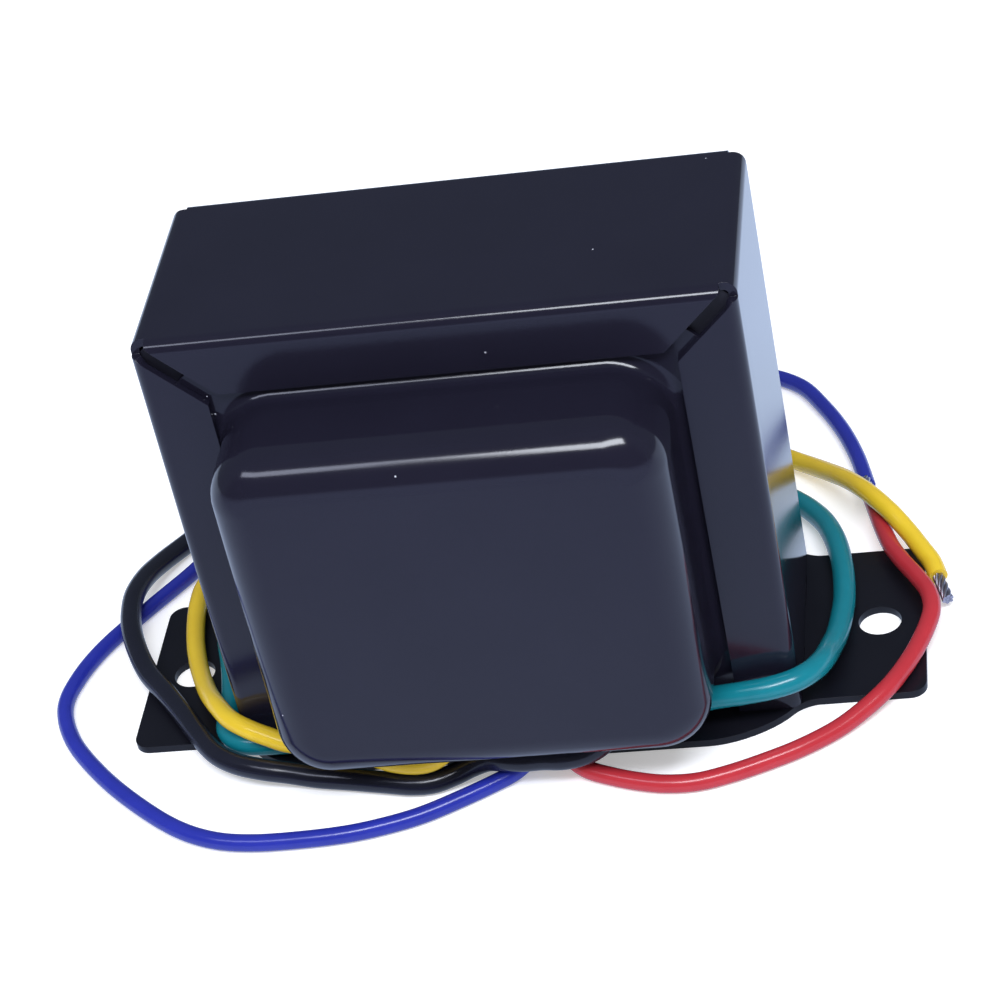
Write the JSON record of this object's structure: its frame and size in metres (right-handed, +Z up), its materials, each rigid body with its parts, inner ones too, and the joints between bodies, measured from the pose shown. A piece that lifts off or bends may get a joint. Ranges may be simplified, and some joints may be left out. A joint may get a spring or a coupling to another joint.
{
  "type": "audio output transformer",
  "caption": "Audio output transformer in a glossy black steel hood with drawn coil covers, a base plate with mounting ears and coloured flying leads.",
  "frame": {"origin": "centre of the base plate's underside, midway between the two mounting holes", "axes": "+X along the line of the two mounting ears, -Y out of the coil cover that the leads come from, +Z up from the chassis"},
  "size_m": [0.1121, 0.0954, 0.0604],
  "materials": {
    "black_enamel": "gloss black stoving enamel on sheet steel",
    "core_steel": "punched silicon steel laminations",
    "bobbin_nylon": "moulded nylon",
    "winding_copper": "enamelled copper wire",
    "insulation_paper": "insulating paper",
    "coil_tape": "polyester tape",
    "blue_pvc": "blue PVC insulation",
    "red_pvc": "red PVC insulation",
    "yellow_pvc": "yellow PVC insulation",
    "green_pvc": "blue-green PVC insulation",
    "black_pvc": "black PVC insulation",
    "tinned_strands": "tinned copper strands"
  },
  "bodies": {
    "root": {"hood": "black_enamel", "base_plate": "black_enamel", "front_cover": "black_enamel", "rear_cover": "black_enamel", "e_laminations": "core_steel", "i_laminations": "core_steel", "bobbin": "bobbin_nylon", "primary_winding": "winding_copper", "secondary_winding": "winding_copper", "layer_insulation": "insulation_paper", "coil_tape": "coil_tape", "blue_lead": "blue_pvc", "red_lead": "red_pvc", "yellow_lead": "yellow_pvc", "green_lead": "green_pvc", "black_lead": "black_pvc", "blue_tip": "tinned_strands", "red_tip": "tinned_strands", "yellow_tip": "tinned_strands", "green_tip": "tinned_strands", "black_tip": "tinned_strands"}
  },
  "joints": []
}
